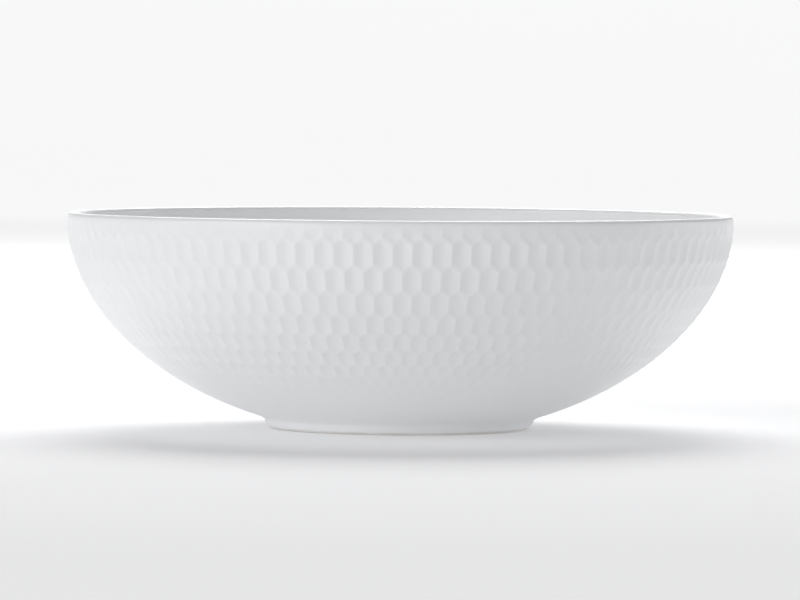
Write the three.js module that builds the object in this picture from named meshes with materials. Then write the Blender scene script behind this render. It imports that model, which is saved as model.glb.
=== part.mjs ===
// A wide porcelain serving bowl on a low foot ring, built as the potter builds it: a pressed clay bowl,
// a foot ring luted under it, and three glaze coats fired on.
// Millimetres, +Z up. The origin is the centre of the foot, on the surface that the bowl stands on.
// Every piece is a ring or a disc about Z, so each one is a half section turned round that axis.
import * as THREE from 'three';

// Overall sizes, over the glaze.
const rimDiameter = 280; // at the widest level of the wall
const bowlHeight = 90.5; // from the foot's contact face to the crest of the lip
const widestBelowCrest = 4.5; // the wall is widest this far under the crest
const lipLeanIn = 0.3; // and leans in by this much from there up to the lip
const wallFullness = 1.88; // 2 gives the wall the curve of an ellipse; less draws its middle in

// The clay.
const lipThickness = 2.8;
const wallThickness = 4.2; // where the wall reaches the base; it thins evenly towards the lip
const baseThickness = 4.4; // under the well
const wellBlendHeight = 9.5; // above the well's floor, the wall starts to curve into the floor

// The foot ring.
const footHeight = 5.6;
const footTopRadius = 59; // where the ring's outside meets the wall
const footTaper = 2.6; // the outside narrows by this much from the wall down to the round
const footRound = 4.2; // round between the outside and the contact face
const footInnerRadius = 46.5;
const footInnerRound = 1.6;
const lutingGap = 0.05; // hairline between the ring and the base, filled by slip

// The glaze.
const glazeThickness = 0.3;
const bondGap = 0.03; // hairline between a coat and the clay that carries it
const bareFoot = 1.2; // the ring is wiped clean this far up from its contact face
const coatGap = 0.05; // hairline where the inner coat meets the outer one, inside the lip

// How finely curves are divided.
const turnSteps = 48;
const wallSteps = 12;
const lipSteps = 6;
const wellSteps = 4;
const roundSteps = 3;

// Sizes that follow from those.
const coatDepth = bondGap + glazeThickness;
const wallRadius = rimDiameter / 2 - coatDepth; // clay, at the widest level
const crestZ = bowlHeight - coatDepth;
const widestZ = bowlHeight - widestBelowCrest;
const lipRadius = lipThickness / 2;
const lipZ = crestZ - lipRadius; // centre of the lip's round
const lipCentreRadius = wallRadius - lipLeanIn - lipRadius;
const wellZ = footHeight + baseThickness;

// The outside of the wall is a stretch of a near-ellipse about the widest level, which comes in to meet
// the foot ring; the inside is one too, set in by the lip's thickness above and the wall's below.
// Its radius at a share of its drop below that level is radius * sqrt(1 - share ** wallFullness).
const footShare =
  (1 - (footTopRadius / wallRadius) ** 2) ** (1 / wallFullness);
const outerDrop = (widestZ - footHeight) / footShare;
const innerRadius = wallRadius - lipThickness;
const innerDrop = outerDrop - wallThickness;

const point = (r, z) => new THREE.Vector2(r, z);

// Points on the wall's curve, from one share of its drop to another, closer together lower down.
function wallPoints(radius, drop, fromShare, toShare, steps) {
  const from = Math.asin(fromShare);
  const to = Math.asin(toShare);
  const points = [];
  for (let i = 0; i <= steps; i++) {
    const share = Math.sin(from + ((to - from) * i) / steps);
    const r = radius * Math.sqrt(1 - share ** wallFullness);
    points.push(point(r, widestZ - drop * share));
  }
  return points;
}

// Points on a round about a centre, from one angle to another, angles from +R towards +Z.
function roundPoints(centre, radius, from, to, steps) {
  const points = [];
  for (let i = 0; i <= steps; i++) {
    const angle = from + ((to - from) * i) / steps;
    points.push(
      point(
        centre.x + radius * Math.cos(angle),
        centre.y + radius * Math.sin(angle),
      ),
    );
  }
  return points;
}

// The foot ring's outside, from its contact face up to the wall.
function footOutside() {
  const roundTop = footTopRadius - footTaper;
  const centre = point(roundTop - footRound, footRound);
  return [
    ...roundPoints(centre, footRound, -Math.PI / 2, 0, roundSteps),
    point(footTopRadius, footHeight),
  ];
}

// The wall's outside, from the foot ring up to the lip.
function wallOutside() {
  return wallPoints(wallRadius, outerDrop, footShare, 0, wallSteps);
}

// The lip, over its crest from outside to inside.
function lipRound() {
  const centre = point(lipCentreRadius, lipZ);
  return roundPoints(centre, lipRadius, 0, Math.PI, lipSteps);
}

// The wall's inside, from the lip down to the middle of the well.
function wallInside() {
  const blendShare = (widestZ - wellZ - wellBlendHeight) / innerDrop;
  const wall = wallPoints(innerRadius, innerDrop, 0, blendShare, wallSteps - 2);
  const blendStart = wall[wall.length - 1];
  // The blend starts along the wall's own slope and ends level with the floor.
  const inwardRun =
    (innerRadius ** 2 * wallFullness * blendShare ** (wallFullness - 1)) /
    (2 * innerDrop * blendStart.x);
  const reach = wellBlendHeight * inwardRun;
  const blend = new THREE.QuadraticBezierCurve(
    blendStart,
    point(blendStart.x - reach, wellZ),
    point(blendStart.x - 2 * reach, wellZ),
  );
  return [...wall, ...blend.getPoints(wellSteps).slice(1), point(0, wellZ)];
}

// A line moved sideways, to the right of its direction, with every stretch kept parallel.
function setAside(line, distance) {
  const across = line.slice(1).map((end, i) => {
    const along = end.clone().sub(line[i]).normalize();
    return point(along.y, -along.x);
  });
  return line.map((at, i) => {
    const before = across[Math.max(i - 1, 0)];
    const after = across[Math.min(i, across.length - 1)];
    const sum = before.clone().add(after);
    return at
      .clone()
      .addScaledVector(sum, (2 * distance) / sum.lengthSq());
  });
}

// A coat of glaze over a line of clay, on the right of the line's direction, as a closed section.
function coatSection(line) {
  const under = setAside(line, bondGap);
  const over = setAside(line, coatDepth);
  return [...under.reverse(), ...over];
}

// A half section turned round +Z. A section that doesn't end on the axis closes on itself.
function turned(section) {
  const onAxis = section[0].x === 0 && section[section.length - 1].x === 0;
  const outline = onAxis ? section : [...section, section[0]];
  return new THREE.LatheGeometry(outline, turnSteps).rotateX(Math.PI / 2);
}

const bisque = () =>
  new THREE.MeshStandardMaterial({ color: 0xf0eee8, roughness: 0.8 });
const glaze = () =>
  new THREE.MeshStandardMaterial({ color: 0xf3f5f8, roughness: 0.12 });

function piece(name, section, material) {
  const mesh = new THREE.Mesh(turned(section), material);
  mesh.name = name;
  return mesh;
}

// The pressed bowl: flat under the base, out to the foot ring's edge, up, over the lip and down inside.
function clayBody() {
  return [
    point(0, footHeight),
    ...wallOutside(),
    ...lipRound(),
    ...wallInside(),
  ];
}

// The foot ring, cut level just under the base.
function footRing() {
  const outside = footOutside();
  const wallFoot = outside[outside.length - 2];
  const corner = outside[outside.length - 1];
  const cut = (corner.y - lutingGap - wallFoot.y) / (corner.y - wallFoot.y);
  const innerCentre = point(footInnerRadius + footInnerRound, footInnerRound);
  return [
    ...roundPoints(
      innerCentre,
      footInnerRound,
      -Math.PI,
      -Math.PI / 2,
      roundSteps,
    ),
    ...outside.slice(0, -1),
    wallFoot.clone().lerp(corner, cut),
    point(footInnerRadius, footHeight - lutingGap),
  ];
}

// Points of a line from a height up, with a new point at that height.
function fromHeight(line, height) {
  const next = line.findIndex((at) => at.y > height);
  const below = line[next - 1];
  const share = (height - below.y) / (line[next].y - below.y);
  return [below.clone().lerp(line[next], share), ...line.slice(next)];
}

// The outer coat: from the wiped edge of the foot, up the wall and over the lip.
function outerGlaze() {
  const line = fromHeight(footOutside(), bareFoot);
  return coatSection([...line, ...wallOutside().slice(1), ...lipRound()]);
}

// The inner coat: from just inside the lip down to the middle of the well.
function innerGlaze() {
  const line = wallInside();
  const top = point(lipCentreRadius - lipRadius, lipZ - coatGap);
  return coatSection([top, ...line]);
}

// The base coat: the roof of the foot's recess and the ring's inside, down to the wiped edge.
function baseGlaze() {
  return coatSection([
    point(0, footHeight),
    point(footInnerRadius, footHeight),
    point(footInnerRadius, Math.max(bareFoot, footInnerRound)),
  ]);
}

const bowl = new THREE.Group();
bowl.add(
  piece('porcelain_body', clayBody(), bisque()),
  piece('foot_ring', footRing(), bisque()),
  piece('outer_glaze', outerGlaze(), glaze()),
  piece('inner_glaze', innerGlaze(), glaze()),
  piece('base_glaze', baseGlaze(), glaze()),
);

export default bowl;
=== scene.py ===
import math
import bpy
import numpy as np
from mathutils import Matrix, Vector


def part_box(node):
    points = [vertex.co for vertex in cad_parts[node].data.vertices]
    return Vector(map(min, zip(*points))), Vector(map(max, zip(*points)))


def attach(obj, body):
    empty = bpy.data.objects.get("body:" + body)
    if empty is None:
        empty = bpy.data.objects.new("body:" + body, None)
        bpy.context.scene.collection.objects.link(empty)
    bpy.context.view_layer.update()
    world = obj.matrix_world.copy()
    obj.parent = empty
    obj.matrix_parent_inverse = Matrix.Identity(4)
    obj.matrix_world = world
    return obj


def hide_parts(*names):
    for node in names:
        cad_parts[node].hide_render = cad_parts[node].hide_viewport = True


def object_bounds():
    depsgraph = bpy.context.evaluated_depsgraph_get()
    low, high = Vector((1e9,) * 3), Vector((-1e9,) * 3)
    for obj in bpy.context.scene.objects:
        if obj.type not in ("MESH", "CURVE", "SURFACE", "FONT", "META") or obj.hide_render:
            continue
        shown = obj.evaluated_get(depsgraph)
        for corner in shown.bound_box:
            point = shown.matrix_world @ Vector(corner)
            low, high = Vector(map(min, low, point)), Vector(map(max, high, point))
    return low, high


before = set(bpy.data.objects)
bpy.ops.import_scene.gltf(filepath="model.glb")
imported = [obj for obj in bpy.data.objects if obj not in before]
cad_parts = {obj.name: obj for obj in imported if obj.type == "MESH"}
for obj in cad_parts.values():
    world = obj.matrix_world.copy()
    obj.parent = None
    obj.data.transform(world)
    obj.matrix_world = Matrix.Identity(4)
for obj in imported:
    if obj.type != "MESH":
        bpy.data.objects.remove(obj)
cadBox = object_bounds()
mm = 0.001

claySizes = {
    "widestBelowCrest": 4.5 * mm,
    "wallFullness": 1.88,
    "lipThickness": 2.8 * mm,
    "lipLeanIn": 0.3 * mm,
    "wallThickness": 4.2 * mm,
    "baseThickness": 4.4 * mm,
    "wellBlendHeight": 9.5 * mm,
    "footTaper": 2.6 * mm,
    "footRound": 4.2 * mm,
    "footInnerRound": 1.6 * mm,
    "footFillet": 0.6 * mm,  # slip and glaze soften the corner where the ring meets the wall
}

# what the packed clay says about its own size
crest = cadBox[1].z
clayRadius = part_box("porcelain_body")[1].x
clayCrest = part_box("porcelain_body")[1].z
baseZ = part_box("porcelain_body")[0].z
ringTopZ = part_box("foot_ring")[1].z
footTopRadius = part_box("foot_ring")[1].x
wellZ = baseZ + claySizes["baseThickness"]
widestZ = crest - claySizes["widestBelowCrest"]
lipRadius = claySizes["lipThickness"] / 2
lipZ = clayCrest - lipRadius
lipCentre = clayRadius - claySizes["lipLeanIn"] - lipRadius
fullness = claySizes["wallFullness"]
footShare = (1 - (footTopRadius / clayRadius) ** 2) ** (1 / fullness)
outerDrop = (widestZ - baseZ) / footShare
innerDrop = outerDrop - claySizes["wallThickness"]
innerRadius = clayRadius - claySizes["lipThickness"]


# a half section is rows of (radius, height)
def wallCurve(radius, drop, fromShare, toShare, steps):
    share = np.sin(np.linspace(math.asin(fromShare), math.asin(toShare), steps))
    return np.column_stack([radius * np.sqrt(1 - share**fullness), widestZ - drop * share])


def roundCurve(centre, radius, fromAngle, toAngle, steps):
    angle = np.linspace(fromAngle, toAngle, steps)
    return np.column_stack([centre[0] + radius * np.cos(angle), centre[1] + radius * np.sin(angle)])


def bendCurve(start, corner, end, steps):
    share = np.linspace(0, 1, steps)[:, None]
    return (1 - share) ** 2 * start + 2 * share * (1 - share) * corner + share**2 * end


def softenCorner(line, corner, reach):
    near = np.flatnonzero(np.hypot(*(line - corner).T) < reach)
    before, after = line[: near[0]], line[near[-1] + 1 :]
    return np.vstack([before, bendCurve(before[-1], corner, after[0], 24)[1:-1], after])


def footOutside():
    roundTop = footTopRadius - claySizes["footTaper"]
    centre = (roundTop - claySizes["footRound"], claySizes["footRound"])
    lower = roundCurve(centre, claySizes["footRound"], -math.pi / 2, 0, 60)
    return np.vstack([lower[:-1], np.linspace(lower[-1], (footTopRadius, baseZ), 60)])


def clayOutside():
    # from the contact face up the foot and the wall, and over the lip
    line = np.vstack([footOutside()[:-1], wallCurve(clayRadius, outerDrop, footShare, 0, 900)])
    line = softenCorner(line, np.array([footTopRadius, baseZ]), claySizes["footFillet"])
    lipFoot = (clayRadius - claySizes["lipLeanIn"], lipZ)
    lean = np.linspace((clayRadius, widestZ), lipFoot, 30)
    lip = roundCurve((lipCentre, lipZ), lipRadius, 0, math.pi, 90)
    return np.vstack([line, lean[1:-1], lip])


def clayInside():
    # from the lip down to the middle of the well
    blendShare = (widestZ - wellZ - claySizes["wellBlendHeight"]) / innerDrop
    wall = wallCurve(innerRadius, innerDrop, 0, blendShare, 500)
    start = wall[-1]
    inward = innerRadius**2 * fullness * blendShare ** (fullness - 1) / (2 * innerDrop * start[0])
    reach = claySizes["wellBlendHeight"] * inward
    corner, end = np.array([start[0] - reach, wellZ]), np.array([start[0] - 2 * reach, wellZ])
    lean = np.linspace((lipCentre - lipRadius, lipZ), wall[0], 30)
    well = np.linspace(end, (0, wellZ), 80)
    return np.vstack([lean[:-1], wall, bendCurve(start, corner, end, 120)[1:], well[1:]])


def runAlong(line):
    return np.concatenate([[0], np.cumsum(np.hypot(*np.diff(line, axis=0).T))])


class Outline:
    # a half section, how far along it each point is, and which way its exposed side faces
    def __init__(self, line):
        self.line = line
        self.run = runAlong(line)
        way = np.gradient(line, self.run, axis=0)
        way /= np.hypot(*way.T)[:, None]
        self.facing = np.column_stack([way[:, 1], -way[:, 0]])

    def at(self, run):
        place = [np.interp(run, self.run, column) for column in self.line.T]
        facing = [np.interp(run, self.run, column) for column in self.facing.T]
        return place, facing


outside = Outline(clayOutside())
inside = Outline(clayInside())
print("outline ready:", round(2 * cadBox[1].x / mm, 1), "mm across and", round(crest / mm, 1), "mm high")

honeycomb = {
    "columns": 110,
    "turned": 0.11,  # the first column sits this share of a column round from the front
    "rowPitch": 1.4142,  # a row's height, in column widths
    "firstRow": 0.33,  # the first row edge lies this many rows below the widest level
    "stretch": 1.632,  # how much taller the cells are than regular ones
    "depth": 0.088,  # of a scoop at its sides, in column widths
    "deeperTop": 0.5,  # the first rows are cut deeper than the rest by this share
    "deeperRows": (0.5, 3),  # rows over which that extra depth goes away
    "softness": 0.16,  # how far the glaze rounds the ridges
    "level": 1.2,  # the uncut wall, in depths above a scoop's middle
    "plainRim": (-0.575, 0.1),  # rows over which the cells start, under the plain rim
    "fadeFoot": (5.2, 10.6),  # rows over which they die away towards the foot
    "coarseFrom": 6.83,  # from this row down the cells are small enough for half the points
}
columnAngle = 2 * math.pi / honeycomb["columns"]
rowAngle = columnAngle * honeycomb["rowPitch"]


def rowsDown(line):
    # how many rows down each point of the outline is; a row's height keeps in step with the radius
    middle = (line[1:, 0] + line[:-1, 0]) / 2
    turn = np.concatenate([[0], np.cumsum(np.hypot(*np.diff(line, axis=0).T) / middle)])
    top = np.argmax(line[:, 1]) + 1
    widest = np.interp(widestZ, line[:top, 1], turn[:top])
    return (widest - turn) / rowAngle - honeycomb["firstRow"]


outsideRows = rowsDown(outside.line)


def rowAt(run):
    return np.interp(run, outside.run, outsideRows)


def runAt(row):
    return float(np.interp(-row, -outsideRows, outside.run))


def smoothStep(value, start, end):
    share = np.clip((value - start) / (end - start), 0, 1)
    return share * share * (3 - 2 * share)


def scoopHeight(column, row):
    # 0 in the middle of a scoop and about 1 at its sides; scoops meet half way between their middles
    total = np.zeros(len(column))
    for step in (-1, 0, 1):
        cellRow = math.floor(row) + step
        offset = cellRow % 2 / 2
        nearest = np.round(column - offset) + offset
        beside = nearest + np.where(column > nearest, 1, -1)
        down = (row - cellRow - 0.5) * honeycomb["rowPitch"] / honeycomb["stretch"]
        for cellColumn in (nearest, beside):
            total += np.exp(-4 * ((column - cellColumn) ** 2 + down**2) / honeycomb["softness"])
    return -honeycomb["softness"] * np.log(total)


def relief(column, row, radius):
    # how far the pressed pattern moves the wall; the uncut wall is at 0
    deeper = 1 + honeycomb["deeperTop"] * (1 - smoothStep(row, *honeycomb["deeperRows"]))
    depth = honeycomb["depth"] * columnAngle * radius * deeper
    show = smoothStep(row, *honeycomb["plainRim"]) * (1 - smoothStep(row, *honeycomb["fadeFoot"]))
    return np.minimum(scoopHeight(column, row) - honeycomb["level"], 0) * depth * show


halfCell = (0, 0.13, 0.5, 0.87)  # points across half a cell, closer together beside the ridges
halves = range(2 * honeycomb["columns"])
fineColumns = np.array([(half + share) / 2 for half in halves for share in halfCell])
# points round a ring: on the large cells, on the small ones, on the smooth inside, and in the well
fineCount = len(fineColumns)
plainCount = fineCount // 2
smoothCount = fineCount // 4
wellCount = fineCount // 8


def ringAt(outline, run, offset, count, pressed=False):
    (radius, height), (outR, outZ) = outline.at(run)
    column = fineColumns[:: fineCount // count]
    push = np.full(count, float(offset))
    if pressed:
        push += relief(column, float(rowAt(run)), radius)
    angle = (column + honeycomb["turned"]) * columnAngle
    r, z = radius + outR * push, height + outZ * push
    return np.column_stack([r * np.sin(angle), -r * np.cos(angle), z])


def flatRing(radius, height, count):
    angle = (fineColumns[:: fineCount // count] + honeycomb["turned"]) * columnAngle
    return np.column_stack([radius * np.sin(angle), -radius * np.cos(angle), np.full(count, height)])


def middlePoint(height):
    return np.array([[0, 0, height]])


def equalStrip(a, b, count, edge):
    faces = []
    for i in range(count):
        n = (i + 1) % count
        low, lowNext, high, highNext = a + i, a + n, b + i, b + n
        if edge is None:
            faces.append((low, lowNext, highNext, high))
        elif (i // len(halfCell) + edge) % 2:  # the ridge climbs here
            faces += [(low, lowNext, highNext), (low, highNext, high)]
        else:
            faces += [(low, lowNext, high), (lowNext, highNext, high)]
    return faces


def strip(a, b, countA, countB, edge):
    # faces between two rings whose points start at a and b
    if countA == countB:
        return equalStrip(a, b, countA, edge) if countA > 1 else []
    if countA == 1:
        return [(a, b + (i + 1) % countB, b + i) for i in range(countB)]
    if countB == 1:
        return [(a + i, a + (i + 1) % countA, b) for i in range(countA)]
    faces = []
    for i in range(min(countA, countB)):
        if countA > countB:
            left, middle, right = a + 2 * i, a + 2 * i + 1, a + (2 * i + 2) % countA
            here, n = b + i, b + (i + 1) % countB
            faces += [(left, middle, here), (middle, n, here), (middle, right, n)]
        else:
            left, middle, right = b + 2 * i, b + 2 * i + 1, b + (2 * i + 2) % countB
            here, n = a + i, a + (i + 1) % countA
            faces += [(here, middle, left), (here, n, middle), (n, right, middle)]
    return faces


def turnedPiece(name, rings, edges=None):
    # rings of points, each joined to the next and the last to the first, as one closed smooth mesh
    edges = edges or [None] * len(rings)
    starts = [0]
    for points in rings:
        starts.append(starts[-1] + len(points))
    faces = []
    for i, points in enumerate(rings):
        n = (i + 1) % len(rings)
        faces += strip(starts[i], starts[n], len(points), len(rings[n]), edges[i])
    mesh = bpy.data.meshes.new(name)
    mesh.from_pydata(np.vstack(rings).tolist(), [], faces)
    mesh.shade_smooth()
    mesh.set_sharp_from_angle(angle=math.radians(55))
    piece = bpy.data.objects.new(name, mesh)
    bpy.context.scene.collection.objects.link(piece)
    print(name, "made with", sum(len(face) - 2 for face in faces), "triangles")
    return piece


coat = {
    "bond": 0.03 * mm,
    "thickness": 0.3 * mm,
    "bareFoot": 1.2 * mm,
    "edgeRun": 2 * mm,  # a coat thins to its wiped edge over this length
    "edgeThickness": 0.06 * mm,
    "seamBelowLip": 0.8 * mm,  # where the outer and inner coats meet, inside the lip
    "pooling": 1.4 * mm,  # the glaze rounds the corner of the recess by this much
}
fullCoat = coat["bond"] + coat["thickness"]
wipedRun = float(np.interp(coat["bareFoot"], outside.line[:60, 1], outside.run[:60]))
plainRun = runAt(honeycomb["plainRim"][0] - 0.02)  # where the plain rim starts
patternRun = runAt(honeycomb["fadeFoot"][1] + 0.2)  # where the pattern starts, above the foot
filletRun = wipedRun + 12 * mm  # past the corner between the foot and the wall
footRuns = [*np.linspace(wipedRun, filletRun, 13)[:-1], *np.linspace(filletRun, patternRun, 6)]
lipRuns = [plainRun, *np.linspace(plainRun + 0.12 * mm, outside.run[-1], 12)]


def coatDepth(run, edge):
    grown = smoothStep(abs(run - edge), 0, coat["edgeRun"])
    return coat["bond"] + coat["edgeThickness"] + (coat["thickness"] - coat["edgeThickness"]) * grown


def patternRings(zigzag, straight, fromRow, toRow):
    # from the bottom up: the row of each ring, and the zigzag edge that it closes or None
    rings = []
    for edge in range(12):
        rings += [(edge - 1 / 6 + share / 3, edge) for share in zigzag]
        rings += [(edge + 1 / 6 + share * 2 / 3, None) for share in straight]
    return [(row, edge) for row, edge in rings if fromRow <= row < toRow][::-1]


firstPatternRow = -0.2  # above it a few rings of their own lead up to the plain rim
lastPatternRow = honeycomb["fadeFoot"][1] + 0.15
rimRows = (-0.28, -0.4, -0.47, -0.5, -0.53, -0.56)
hiddenRimRows = (-0.35, -0.48, -0.54)
hiddenPattern = patternRings((0,), (0, 0.5), firstPatternRow, lastPatternRow)
hiddenPattern += [(row, None) for row in hiddenRimRows]


def makeOuterGlaze():
    coarse = honeycomb["coarseFrom"]
    pattern = patternRings((0, 0.5), (0, 0.5), coarse, lastPatternRow)
    pattern += patternRings(halfCell, (0, 0.25, 0.5, 0.75), firstPatternRow, coarse)
    pattern += [(row, None) for row in rimRows]
    rings, edges = [], []
    for run in footRuns:
        rings.append(ringAt(outside, run, coatDepth(run, wipedRun), plainCount, True))
        edges.append(None)
    for row, edge in pattern:
        count = plainCount if row >= coarse else fineCount
        if len(rings[-1]) == count == fineCount:
            edges[-1] = edge  # the strip below this ring is split along the ridge
        rings.append(ringAt(outside, runAt(row), fullCoat, count, True))
        edges.append(None)
    rings += [ringAt(outside, run, fullCoat, plainCount) for run in lipRuns]
    seam, bond = coat["seamBelowLip"], coat["bond"]
    rings += [ringAt(inside, seam, fullCoat, plainCount), ringAt(inside, seam, bond, plainCount)]
    # and back down along the clay, with fewer rings
    rings += [ringAt(outside, run, bond, plainCount) for run in lipRuns[::-2]]
    rings += [ringAt(outside, runAt(row), bond, plainCount, True) for row, edge in hiddenPattern[::-1]]
    rings += [ringAt(outside, run, bond, plainCount, True) for run in footRuns[:0:-2] + footRuns[:1]]
    edges += [None] * (len(rings) - len(edges))
    return turnedPiece("glazeOutside", rings, edges)


insideGrid = {
    "lipBand": 12 * mm,  # rings lie closer together down to here
    "wellBand": 46 * mm,  # from the middle out to where the well turns up
    "middleBand": 24 * mm,
    "lastRing": 4 * mm,
}
wellRun = inside.run[-1] - insideGrid["wellBand"]
middleRun = inside.run[-1] - insideGrid["middleBand"]
insideRuns = [*np.linspace(coat["seamBelowLip"], insideGrid["lipBand"], 8)]
insideRuns += [*np.linspace(insideGrid["lipBand"], wellRun, 60)[1:]]
insideRuns += [*np.linspace(wellRun, middleRun, 6)[1:]]
middleRuns = [*np.linspace(middleRun, inside.run[-1] - insideGrid["lastRing"], 5)[1:]]


def insideRings(offset):
    rings = [ringAt(inside, insideRuns[0], offset, plainCount)]
    rings += [ringAt(inside, run, offset, smoothCount) for run in insideRuns[1:]]
    rings += [ringAt(inside, run, offset, wellCount) for run in middleRuns]
    return rings + [middlePoint(wellZ + offset)]


def makeInnerGlaze():
    return turnedPiece("glazeInside", insideRings(fullCoat) + insideRings(coat["bond"])[::-1])


def makeClayBowl():
    # flat underneath, then up the wall from just above the ring
    wallStart = runAt(rowAt(wipedRun + 9.5 * mm))
    rings = [middlePoint(baseZ)]
    rings += [flatRing(20 * mm, baseZ, wellCount), flatRing(40 * mm, baseZ, smoothCount)]
    rings += [flatRing(footTopRadius - 1.5 * mm, baseZ, plainCount)]
    rings += [ringAt(outside, run, 0, plainCount) for run in footRuns if run > wallStart]
    rings += [ringAt(outside, runAt(row), 0, plainCount, True) for row, edge in hiddenPattern]
    rings += [ringAt(outside, run, 0, plainCount) for run in lipRuns[::2]]
    return turnedPiece("clayBowl", rings + insideRings(0))


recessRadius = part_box("base_glaze")[1].x + coat["bond"]  # of the clay inside the ring
ringTop = {
    "outerCorner": 0.6 * mm,  # the ring's top corners are taken off, where the bowl sits on it
    "outerDrop": 0.3 * mm,
    "innerCorner": 0.2 * mm,
}


def makeFootRing():
    heel = claySizes["footInnerRound"]
    step, drop, inner = ringTop["outerCorner"], ringTop["outerDrop"], ringTop["innerCorner"]
    line = [point for point in footOutside()[::6] if point[1] < ringTopZ - 0.4 * mm]
    line += [(footTopRadius - step, ringTopZ - drop), (footTopRadius - 2 * step, ringTopZ)]
    line += [(recessRadius + inner, ringTopZ), (recessRadius, ringTopZ - inner)]
    line += [*roundCurve((recessRadius + heel, heel), heel, math.pi, 1.5 * math.pi, 10)]
    return turnedPiece("clayFootRing", [flatRing(r, z, smoothCount) for r, z in line])


recessRings = (30 * mm, 12 * mm)  # across the flat roof of the recess


def makeBaseGlaze():
    wiped = max(coat["bareFoot"], claySizes["footInnerRound"])
    pool, bond = coat["pooling"], coat["bond"]
    roof, side, bondRoof = baseZ - fullCoat, recessRadius - fullCoat, baseZ - bond
    wide, narrow = recessRings
    rings = [middlePoint(roof), flatRing(narrow, roof, wellCount), flatRing(wide, roof, smoothCount)]
    corner = np.array([side, roof])
    pooled = bendCurve(corner - (pool, 0), corner, corner - (0, pool), 9)
    rings += [flatRing(r, z, smoothCount) for r, z in pooled]
    for z in np.linspace(roof - pool, wiped, 8)[1:]:
        rings.append(flatRing(recessRadius - coatDepth(z, wiped), z, smoothCount))
    rings += [flatRing(recessRadius - bond, z, smoothCount) for z in (wiped, bondRoof)]
    rings += [flatRing(wide, bondRoof, smoothCount), flatRing(narrow, bondRoof, wellCount)]
    return turnedPiece("glazeUnderfoot", rings + [middlePoint(bondRoof)])


glazeOutside = makeOuterGlaze()
glazeInside = makeInnerGlaze()
clayBowl = makeClayBowl()
clayFootRing = makeFootRing()
glazeUnderfoot = makeBaseGlaze()


def newMaterial(name):
    material = bpy.data.materials.new(name)
    material.use_nodes = True
    nodes, links = material.node_tree.nodes, material.node_tree.links
    shader = nodes["Principled BSDF"]
    place = nodes.new("ShaderNodeTexCoord").outputs["Object"]
    return material, nodes, links, shader, place


def noiseNode(nodes, links, place, scale, detail=2, rough=0.5):
    noise = nodes.new("ShaderNodeTexNoise")
    noise.inputs["Scale"].default_value = scale
    noise.inputs["Detail"].default_value = detail
    noise.inputs["Roughness"].default_value = rough
    links.new(place, noise.inputs["Vector"])
    return noise.outputs["Fac"]


def rangeNode(nodes, links, value, fromLow, fromHigh, toLow, toHigh):
    spread = nodes.new("ShaderNodeMapRange")
    sockets = {"From Min": fromLow, "From Max": fromHigh, "To Min": toLow, "To Max": toHigh}
    for socket, number in sockets.items():
        spread.inputs[socket].default_value = number
    links.new(value, spread.inputs["Value"])
    return spread.outputs["Result"]


def mixNode(nodes, links, share, first, second):
    mix = nodes.new("ShaderNodeMix")
    mix.data_type = "RGBA"
    links.new(share, mix.inputs["Factor"])
    for socket, colour in (("A", first), ("B", second)):
        target = next(s for s in mix.inputs if s.name == socket and s.type == "RGBA")
        if isinstance(colour, bpy.types.NodeSocket):
            links.new(colour, target)
        else:
            target.default_value = (*colour, 1)
    return next(s for s in mix.outputs if s.type == "RGBA")


def bumpNode(nodes, links, height, strength, distance, normal=None):
    bump = nodes.new("ShaderNodeBump")
    bump.inputs["Strength"].default_value = strength
    bump.inputs["Distance"].default_value = distance
    links.new(height, bump.inputs["Height"])
    if normal is not None:
        links.new(normal, bump.inputs["Normal"])
    return bump.outputs["Normal"]


whiteGlaze = {
    "white": (0.915, 0.922, 0.93),
    "cloud": (0.907, 0.916, 0.926),  # where the coat is a little thicker and bluer
    "cloudScale": 14,
    "speck": (0.62, 0.6, 0.57),
    "speckScale": 45,
    "speckSize": 0.012,
    "speckStrength": 0.5,
    "gloss": (0.29, 0.34),
    "glossScale": 45,
    "ripple": 0.012 * mm,  # slow unevenness of the melted surface
    "rippleScale": 60,
    "peel": 0.0015 * mm,
    "peelScale": 500,
    "ior": 1.5,
}


def makeWhiteGlaze():
    look = whiteGlaze
    material, nodes, links, shader, place = newMaterial("whiteGlaze")
    cloud = rangeNode(nodes, links, noiseNode(nodes, links, place, look["cloudScale"], 3), 0.3, 0.7, 0, 1)
    colour = mixNode(nodes, links, cloud, look["white"], look["cloud"])
    specks = nodes.new("ShaderNodeTexVoronoi")
    specks.inputs["Scale"].default_value = look["speckScale"]
    links.new(place, specks.inputs["Vector"])
    distance, size = specks.outputs["Distance"], look["speckSize"]
    speckShare = rangeNode(nodes, links, distance, size, 0.6 * size, 0, look["speckStrength"])
    links.new(mixNode(nodes, links, speckShare, colour, look["speck"]), shader.inputs["Base Color"])
    gloss = noiseNode(nodes, links, place, look["glossScale"], 4)
    links.new(rangeNode(nodes, links, gloss, 0.3, 0.7, *look["gloss"]), shader.inputs["Roughness"])
    ripple = noiseNode(nodes, links, place, look["rippleScale"], 2)
    peel = noiseNode(nodes, links, place, look["peelScale"], 2)
    normal = bumpNode(nodes, links, ripple, 1, look["ripple"])
    links.new(bumpNode(nodes, links, peel, 1, look["peel"], normal), shader.inputs["Normal"])
    shader.inputs["IOR"].default_value = look["ior"]
    return material


bareClay = {
    "light": (0.85, 0.843, 0.825),
    "dark": (0.77, 0.76, 0.74),
    "grainScale": 1400,
    "stainScale": 60,
    "roughness": (0.72, 0.92),
    "grain": 0.04 * mm,
}


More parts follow.
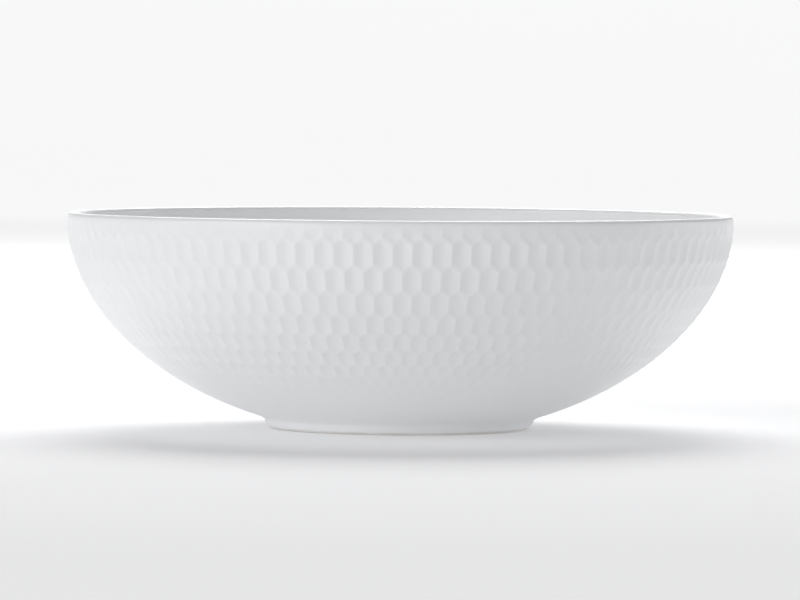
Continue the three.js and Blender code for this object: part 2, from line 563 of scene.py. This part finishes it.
def makeBareClay():
    look = bareClay
    material, nodes, links, shader, place = newMaterial("bareClay")
    stain = rangeNode(nodes, links, noiseNode(nodes, links, place, look["stainScale"], 5), 0.35, 0.7, 0, 1)
    links.new(mixNode(nodes, links, stain, look["light"], look["dark"]), shader.inputs["Base Color"])
    grain = noiseNode(nodes, links, place, look["grainScale"], 3, 0.7)
    links.new(rangeNode(nodes, links, grain, 0.3, 0.7, *look["roughness"]), shader.inputs["Roughness"])
    links.new(bumpNode(nodes, links, grain, 1, look["grain"]), shader.inputs["Normal"])
    return material


glazeMaterial = makeWhiteGlaze()
clayMaterial = makeBareClay()
for piece, node, slot, material in (
    (glazeOutside, "outer_glaze", "white_glaze", glazeMaterial),
    (glazeInside, "inner_glaze", "white_glaze", glazeMaterial),
    (glazeUnderfoot, "base_glaze", "white_glaze", glazeMaterial),
    (clayBowl, "porcelain_body", "bare_porcelain", clayMaterial),
    (clayFootRing, "foot_ring", "bare_porcelain", clayMaterial),
):
    piece.data.materials.append(material)
    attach(piece, "root")
    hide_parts(node)
print("pieces finished and placed")

studio = {
    "floorRadius": 14,
    "floorRings": 60,
    "floorSides": 96,
    "firstRing": 0.05,
    "flatRadius": 5,
    "sweepHeight": 3,  # the floor curves up behind everything, like a paper sweep
    "sweepEnd": 19.6,  # where it would be level again, past its own edge
    "floorGlow": (0.175, 0.69),  # painted light: the floor glows by itself, near the bowl and far away, in place of rows of lamps lighting it
    "glowRadius": (0.7, 4),
    "floorWhite": (0.86, 0.86, 0.87),
    "floorDim": (0.84, 0.84, 0.85),
    "floorToneScale": 2.5,
    "floorRoughness": 0.9,
    "air": (0.99, 1, 1.01),
    "airStrength": 0.175,
    # place, size and power of each soft panel
    "panels": {
        "lowFrontLeft": ((-1.54, -1.83, 0.26), 1.4, 8.4),
        "lowFront": ((0.9, -2.2, 0.2), 1.2, 1),
        "lowRight": ((2.23, 0.81, 0.43), 1.6, 6),
        "back": ((0, 2.41, 1.02), 1.8, 11),
        "highBack": ((0, 1.84, 1.89), 1.8, 44),
        "highFront": ((0, -1.2, 2.13), 1.8, 4.5),
    },
    "aim": (0, 0, 0.05),
    # where broad daylight comes from, and how strong it is
    "daylight": {
        "fromLeft": ((-0.84, -0.48, 0.26), 0.92),
    },
    "daylightSpread": math.radians(50),
}


def makeFloor():
    radii = np.geomspace(studio["firstRing"], studio["floorRadius"], studio["floorRings"])
    heights = studio["sweepHeight"] * smoothStep(radii, studio["flatRadius"], studio["sweepEnd"])
    count = studio["floorSides"]
    angles = np.linspace(0, 2 * math.pi, count, endpoint=False)
    points, faces = [(0, 0, 0)], []
    for radius, height in zip(radii, heights):
        points += [(radius * math.cos(a), radius * math.sin(a), height) for a in angles]
    faces += [(0, 1 + i, 1 + (i + 1) % count) for i in range(count)]
    for k in range(len(radii) - 1):
        a, b = 1 + k * count, 1 + (k + 1) * count
        faces += [(a + i, b + i, b + (i + 1) % count, a + (i + 1) % count) for i in range(count)]
    mesh = bpy.data.meshes.new("paleFloor")
    mesh.from_pydata(points, [], faces)
    mesh.shade_smooth()
    floor = bpy.data.objects.new("paleFloor", mesh)
    bpy.context.scene.collection.objects.link(floor)
    material, nodes, links, shader, place = newMaterial("palePaper")
    tone = noiseNode(nodes, links, place, studio["floorToneScale"], 3)
    colour = mixNode(nodes, links, tone, studio["floorWhite"], studio["floorDim"])
    links.new(colour, shader.inputs["Base Color"])
    shader.inputs["Roughness"].default_value = studio["floorRoughness"]
    # painted light: the floor emits its own glow, weaker near the bowl and stronger further out
    shader.inputs["Emission Color"].default_value = (1, 1, 1, 1)
    reach = nodes.new("ShaderNodeVectorMath")
    reach.operation = "LENGTH"
    links.new(place, reach.inputs[0])
    glow = rangeNode(nodes, links, reach.outputs["Value"], *studio["glowRadius"], *studio["floorGlow"])
    links.new(glow, shader.inputs["Emission Strength"])
    mesh.materials.append(material)


def placeLamp(name, lamp, place, aim):
    holder = bpy.data.objects.new(name, lamp)
    bpy.context.scene.collection.objects.link(holder)
    holder.location = place
    holder.rotation_euler = aim.to_track_quat("-Z", "Y").to_euler()
    holder.visible_camera = False


def makeLights():
    for name, (place, size, power) in studio["panels"].items():
        lamp = bpy.data.lights.new(name, "AREA")
        lamp.shape = "DISK"
        lamp.size = size
        lamp.energy = power
        placeLamp(name, lamp, place, Vector(studio["aim"]) - Vector(place))
    for name, (place, strength) in studio["daylight"].items():
        lamp = bpy.data.lights.new(name, "SUN")
        lamp.angle = studio["daylightSpread"]
        lamp.energy = strength
        placeLamp(name, lamp, place, -Vector(place))
    world = bpy.data.worlds.new("studioAir")
    world.use_nodes = True
    background = world.node_tree.nodes["Background"]
    background.inputs["Color"].default_value = (*studio["air"], 1)
    background.inputs["Strength"].default_value = studio["airStrength"]
    bpy.context.scene.world = world


cameraSettings = {
    "distance": 2.584,
    "aboveCrest": 0.055,
    "lens": 276.5,
    "sensor": 36,
    "seesTo": 60,
    "lookDown": math.radians(2.027),
    "roll": 0.0069,
}


def makeCamera():
    camera = bpy.data.cameras.new("bowlCamera")
    camera.lens = cameraSettings["lens"]
    camera.sensor_width = cameraSettings["sensor"]
    camera.clip_end = cameraSettings["seesTo"]
    holder = bpy.data.objects.new("bowlCamera", camera)
    bpy.context.scene.collection.objects.link(holder)
    place = Matrix.Translation((0, -cameraSettings["distance"], crest + cameraSettings["aboveCrest"]))
    tilt = Matrix.Rotation(math.pi / 2 - cameraSettings["lookDown"], 4, "X")
    holder.matrix_world = place @ tilt @ Matrix.Rotation(cameraSettings["roll"], 4, "Z")
    bpy.context.scene.camera = holder


makeFloor()
makeLights()
makeCamera()
bpy.context.scene.view_settings.view_transform = "Standard"
print("studio ready")
